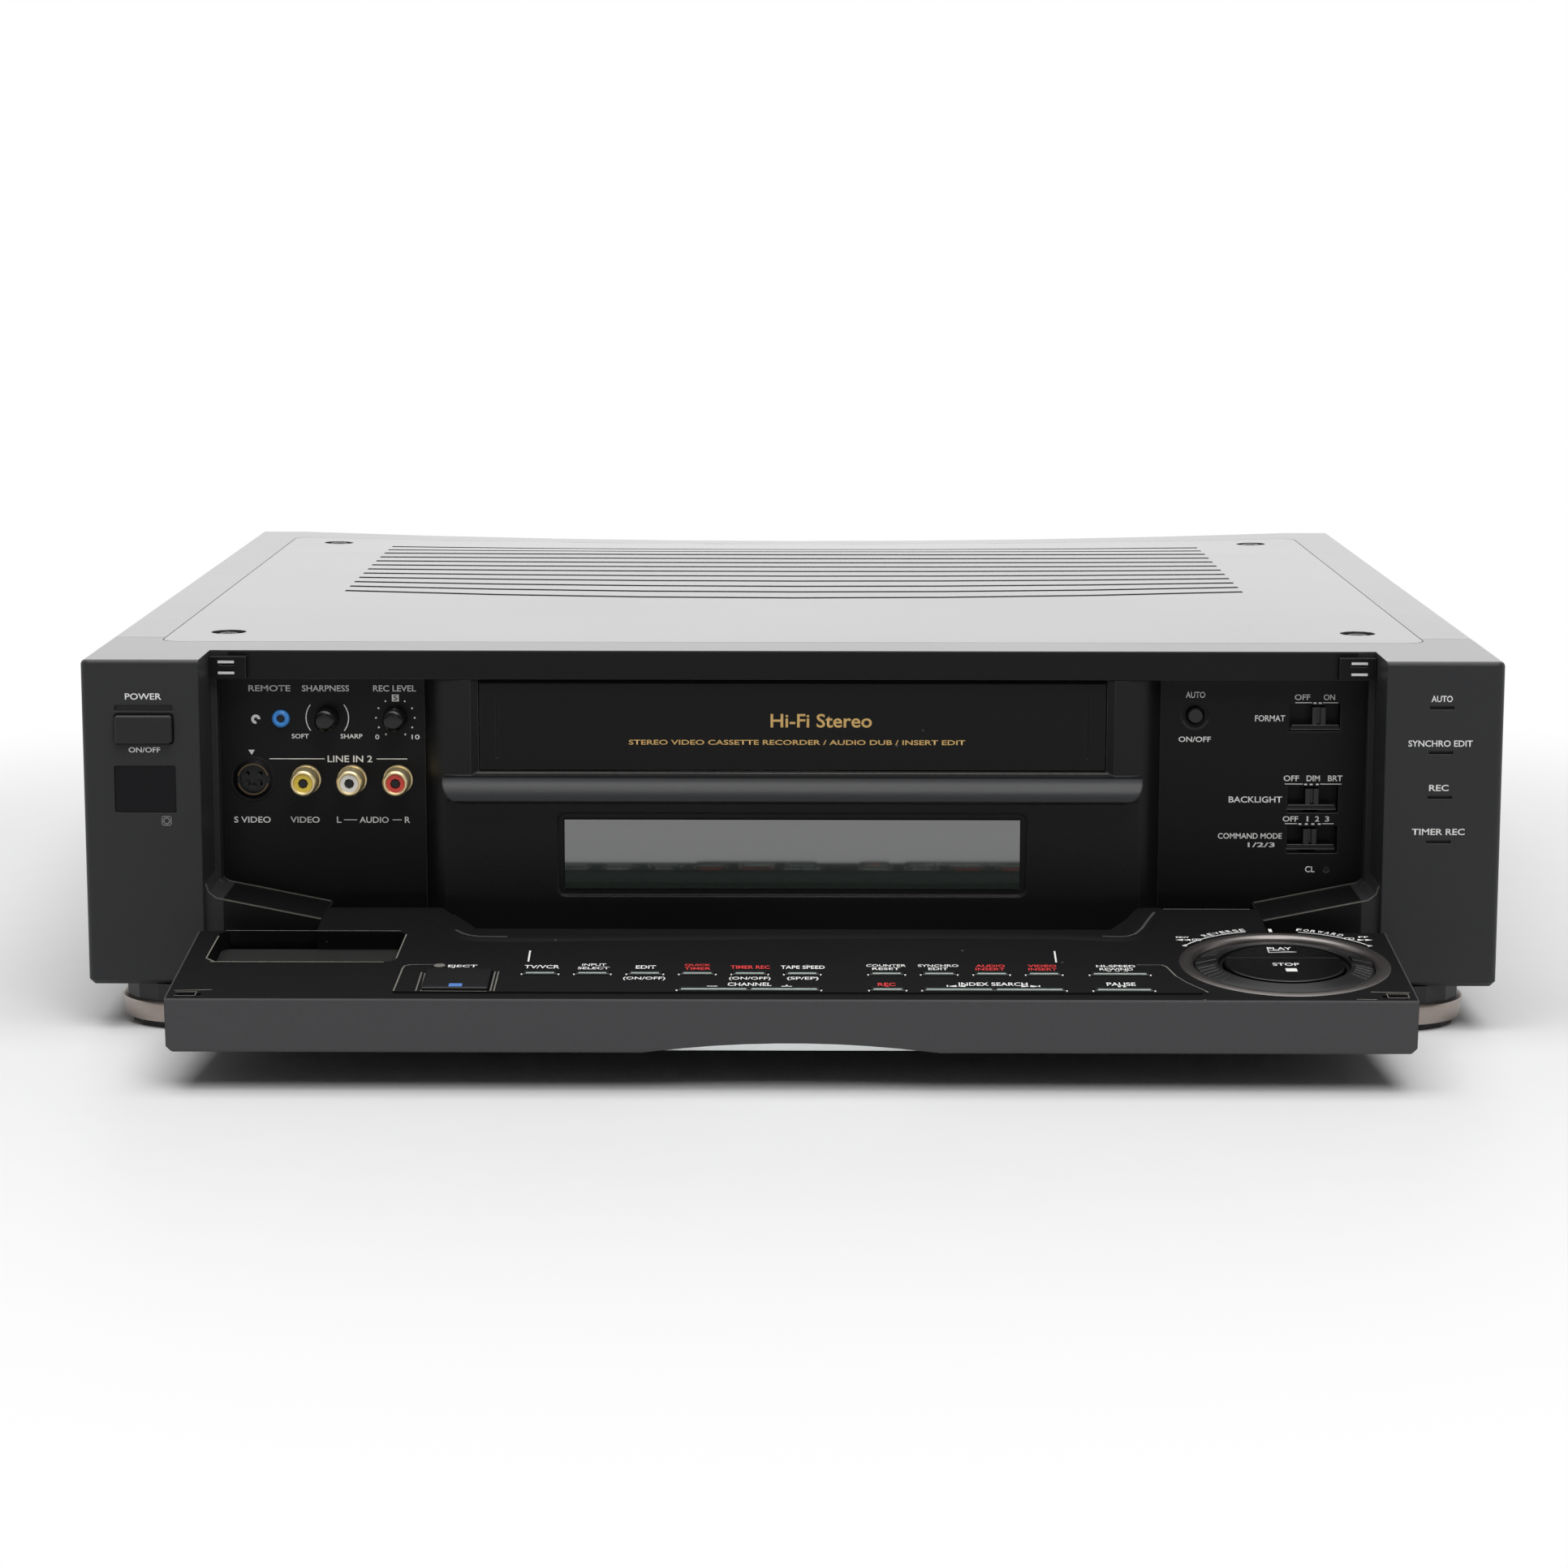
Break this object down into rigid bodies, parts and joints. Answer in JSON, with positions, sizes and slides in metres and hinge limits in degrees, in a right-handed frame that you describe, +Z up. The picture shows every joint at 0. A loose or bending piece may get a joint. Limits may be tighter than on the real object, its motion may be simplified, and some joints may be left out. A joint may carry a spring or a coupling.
{
  "type": "video cassette recorder",
  "caption": "Full-size hi-fi video cassette recorder with a fold-down front control flap, cassette door, jog dial, louvred top and round feet.",
  "frame": {"origin": "on the floor, under the middle of the footprint of the recorder with its flap open", "axes": "+X to the machine's right seen from the front, +Y to the rear, +Z up"},
  "size_m": [0.4324, 0.4761, 0.114],
  "materials": {
    "bezel_paint": "satin charcoal paint",
    "black_plastic": "black moulding",
    "board_green": "circuit board",
    "case_paint": "dark satin paint",
    "deck_steel": "plated deck",
    "display_tube": "dark display tube",
    "door_paint": "semi-gloss dark grey",
    "drum_metal": "polished drum",
    "foot_metal": "copper-silver lacquer",
    "gilt": "gilt",
    "glass_tint": "tinted pane",
    "jack_insert": "coloured insulators",
    "key_plastic": "satin grey key",
    "knob_plastic": "ribbed knob",
    "recess_paint": "satin black",
    "reel_plastic": "white moulding",
    "ring_metal": "dark anodised ring",
    "roller_rubber": "black rubber",
    "screw_steel": "black screw",
    "sensor_red": "dark infrared window",
    "zinc_sheet": "zinc plated sheet"
  },
  "bodies": {
    "machine": {"front_bezel": "bezel_paint", "cassette_surround": "recess_paint", "control_panels": "recess_paint", "display_window": "glass_tint", "display_module": "display_tube", "sensor_window": "sensor_red", "case_cover": "case_paint", "top_plate": "case_paint", "bottom_chassis": "zinc_sheet", "rear_panel": "zinc_sheet", "rear_jacks": "black_plastic", "mains_inlet": "black_plastic", "foot_cores": "black_plastic", "foot_rings": "foot_metal", "rca_jacks": "gilt", "rca_inserts": "jack_insert", "s_video_socket": "black_plastic", "control_socket": "black_plastic", "door_catches": "recess_paint", "case_screws": "screw_steel", "main_board": "board_green", "power_supply": "board_green", "deck_plate": "deck_steel"},
    "flap": {"control_flap": "bezel_paint", "dial_bezel": "ring_metal"},
    "source_key": {"source_button": "key_plastic"},
    "input_key": {"input_button": "key_plastic"},
    "edit_key": {"edit_button": "key_plastic"},
    "quick_timer_key": {"quick_timer_button": "key_plastic"},
    "timer_key": {"timer_button": "key_plastic"},
    "speed_key": {"speed_button": "key_plastic"},
    "counter_key": {"counter_button": "key_plastic"},
    "sync_key": {"sync_button": "key_plastic"},
    "audio_insert_key": {"audio_insert_button": "key_plastic"},
    "video_insert_key": {"video_insert_button": "key_plastic"},
    "fast_rewind_key": {"fast_rewind_button": "key_plastic"},
    "record_key": {"record_button": "key_plastic"},
    "pause_key": {"pause_button": "key_plastic"},
    "play_key": {"play_button": "key_plastic"},
    "stop_key": {"stop_button": "key_plastic"},
    "eject_key": {"eject_button": "key_plastic"},
    "shuttle": {"shuttle_ring": "knob_plastic"},
    "channel_rocker_key": {"channel_rocker": "key_plastic"},
    "index_rocker_key": {"index_rocker": "key_plastic"},
    "power_key": {"power_button": "bezel_paint"},
    "sharpness_dial": {"sharpness_knob": "knob_plastic"},
    "level_dial": {"level_knob": "knob_plastic"},
    "picture_key": {"picture_button": "knob_plastic"},
    "format_switch": {"format_slider": "knob_plastic"},
    "backlight_switch": {"backlight_slider": "knob_plastic"},
    "command_switch": {"command_slider": "knob_plastic"},
    "door": {"cassette_door": "door_paint"},
    "carriage": {"lift_carriage": "deck_steel"},
    "basket": {"cassette_basket": "deck_steel"},
    "drum": {"head_drum": "drum_metal"},
    "capstan_shaft": {"capstan": "drum_metal"},
    "supply": {"supply_reel": "reel_plastic"},
    "takeup": {"takeup_reel": "reel_plastic"},
    "pinch": {"pinch_arm": "deck_steel"},
    "pinch_wheel": {"pinch_roller": "roller_rubber"}
  },
  "joints": [
    {"name": "flap_hinge", "type": "hinge", "parent": "machine", "child": "flap", "pos_m": [0, -0.15063, 0.027], "axis": [1, 0, 0], "range_deg": [-95.4, 0]},
    {"name": "source_press", "type": "slide", "parent": "flap", "child": "source_key", "axis": [0, 0.0941, -0.9956], "range_m": [0, 0.001], "stiffness_N_per_m": 300},
    {"name": "input_press", "type": "slide", "parent": "flap", "child": "input_key", "axis": [0, 0.0941, -0.9956], "range_m": [0, 0.001], "stiffness_N_per_m": 300},
    {"name": "edit_press", "type": "slide", "parent": "flap", "child": "edit_key", "axis": [0, 0.0941, -0.9956], "range_m": [0, 0.001], "stiffness_N_per_m": 300},
    {"name": "quick_timer_press", "type": "slide", "parent": "flap", "child": "quick_timer_key", "axis": [0, 0.0941, -0.9956], "range_m": [0, 0.001], "stiffness_N_per_m": 300},
    {"name": "timer_press", "type": "slide", "parent": "flap", "child": "timer_key", "axis": [0, 0.0941, -0.9956], "range_m": [0, 0.001], "stiffness_N_per_m": 300},
    {"name": "speed_press", "type": "slide", "parent": "flap", "child": "speed_key", "axis": [0, 0.0941, -0.9956], "range_m": [0, 0.001], "stiffness_N_per_m": 300},
    {"name": "counter_press", "type": "slide", "parent": "flap", "child": "counter_key", "axis": [0, 0.0941, -0.9956], "range_m": [0, 0.001], "stiffness_N_per_m": 300},
    {"name": "sync_press", "type": "slide", "parent": "flap", "child": "sync_key", "axis": [0, 0.0941, -0.9956], "range_m": [0, 0.001], "stiffness_N_per_m": 300},
    {"name": "audio_insert_press", "type": "slide", "parent": "flap", "child": "audio_insert_key", "axis": [0, 0.0941, -0.9956], "range_m": [0, 0.001], "stiffness_N_per_m": 300},
    {"name": "video_insert_press", "type": "slide", "parent": "flap", "child": "video_insert_key", "axis": [0, 0.0941, -0.9956], "range_m": [0, 0.001], "stiffness_N_per_m": 300},
    {"name": "fast_rewind_press", "type": "slide", "parent": "flap", "child": "fast_rewind_key", "axis": [0, 0.0941, -0.9956], "range_m": [0, 0.001], "stiffness_N_per_m": 300},
    {"name": "record_press", "type": "slide", "parent": "flap", "child": "record_key", "axis": [0, 0.0941, -0.9956], "range_m": [0, 0.001], "stiffness_N_per_m": 300},
    {"name": "pause_press", "type": "slide", "parent": "flap", "child": "pause_key", "axis": [0, 0.0941, -0.9956], "range_m": [0, 0.001], "stiffness_N_per_m": 300},
    {"name": "play_press", "type": "slide", "parent": "flap", "child": "play_key", "axis": [0, 0.0941, -0.9956], "range_m": [0, 0.001], "stiffness_N_per_m": 300},
    {"name": "stop_press", "type": "slide", "parent": "flap", "child": "stop_key", "axis": [0, 0.0941, -0.9956], "range_m": [0, 0.001], "stiffness_N_per_m": 300},
    {"name": "eject_press", "type": "slide", "parent": "flap", "child": "eject_key", "axis": [0, 0.0941, -0.9956], "range_m": [0, 0.001], "stiffness_N_per_m": 300},
    {"name": "shuttle_turn", "type": "hinge", "parent": "flap", "child": "shuttle", "pos_m": [0.1444, -0.20322, 0.03077], "axis": [0, -0.0941, 0.9956], "range_deg": [-75, 75], "stiffness_Nm_per_rad": 0.02},
    {"name": "channel_rock", "type": "hinge", "parent": "flap", "child": "channel_rocker_key", "pos_m": [-0.0121, -0.23025, 0.02771], "axis": [0, -0.9956, -0.0941], "range_deg": [-1.8, 1.8], "stiffness_Nm_per_rad": 0.05},
    {"name": "index_rock", "type": "hinge", "parent": "flap", "child": "index_rocker_key", "pos_m": [0.0581, -0.23025, 0.02771], "axis": [0, -0.9956, -0.0941], "range_deg": [-1.8, 1.8], "stiffness_Nm_per_rad": 0.05},
    {"name": "power_press", "type": "slide", "parent": "machine", "child": "power_key", "axis": [0, 1, 0], "range_m": [0, 0.0025], "stiffness_N_per_m": 300},
    {"name": "sharpness_turn", "type": "hinge", "parent": "machine", "child": "sharpness_dial", "pos_m": [-0.14422, -0.12793, 0.0921], "axis": [0, 1, 0], "range_deg": [-150, 150]},
    {"name": "level_turn", "type": "hinge", "parent": "machine", "child": "level_dial", "pos_m": [-0.12313, -0.12793, 0.0921], "axis": [0, 1, 0], "range_deg": [-150, 150]},
    {"name": "picture_press", "type": "slide", "parent": "machine", "child": "picture_key", "axis": [0, 1, 0], "range_m": [0, 0.001], "stiffness_N_per_m": 300},
    {"name": "format_slide", "type": "slide", "parent": "machine", "child": "format_switch", "axis": [1, 0, 0], "range_m": [-0.0028, 0]},
    {"name": "backlight_slide", "type": "slide", "parent": "machine", "child": "backlight_switch", "axis": [1, 0, 0], "range_m": [-0.003, 0.003]},
    {"name": "command_slide", "type": "slide", "parent": "machine", "child": "command_switch", "axis": [1, 0, 0], "range_m": [-0.002, 0.004]},
    {"name": "door_swing", "type": "hinge", "parent": "machine", "child": "door", "pos_m": [0, -0.13073, 0.1035], "axis": [1, 0, 0], "range_deg": [0, 88], "stiffness_Nm_per_rad": 0.01, "springref_deg": -17.19},
    {"name": "carriage_slide", "type": "slide", "parent": "machine", "child": "carriage", "axis": [0, 1, 0], "range_m": [0, 0.07]},
    {"name": "basket_drop", "type": "slide", "parent": "carriage", "child": "basket", "axis": [0, 0, -1], "range_m": [0, 0.024]},
    {"name": "drum_spin", "type": "hinge", "parent": "machine", "child": "drum", "pos_m": [0, 0.11607, 0.036], "axis": [0, -0.1038, 0.9946], "continuous": true},
    {"name": "capstan_spin", "type": "hinge", "parent": "machine", "child": "capstan_shaft", "pos_m": [0.06, 0.08407, 0.036], "axis": [0, 0, 1], "continuous": true},
    {"name": "supply_spin", "type": "hinge", "parent": "machine", "child": "supply", "pos_m": [-0.046, 0.01407, 0.036], "axis": [0, 0, 1], "continuous": true},
    {"name": "takeup_spin", "type": "hinge", "parent": "machine", "child": "takeup", "pos_m": [0.046, 0.01407, 0.036], "axis": [0, 0, 1], "continuous": true},
    {"name": "pinch_swing", "type": "hinge", "parent": "machine", "child": "pinch", "pos_m": [0.084, 0.09332, 0.036], "axis": [0, 0, 1], "range_deg": [0, 25]},
    {"name": "roller_spin", "type": "hinge", "parent": "pinch", "child": "pinch_wheel", "pos_m": [0.06225, 0.10346, 0.056], "axis": [0, 0, 1], "continuous": true}
  ]
}
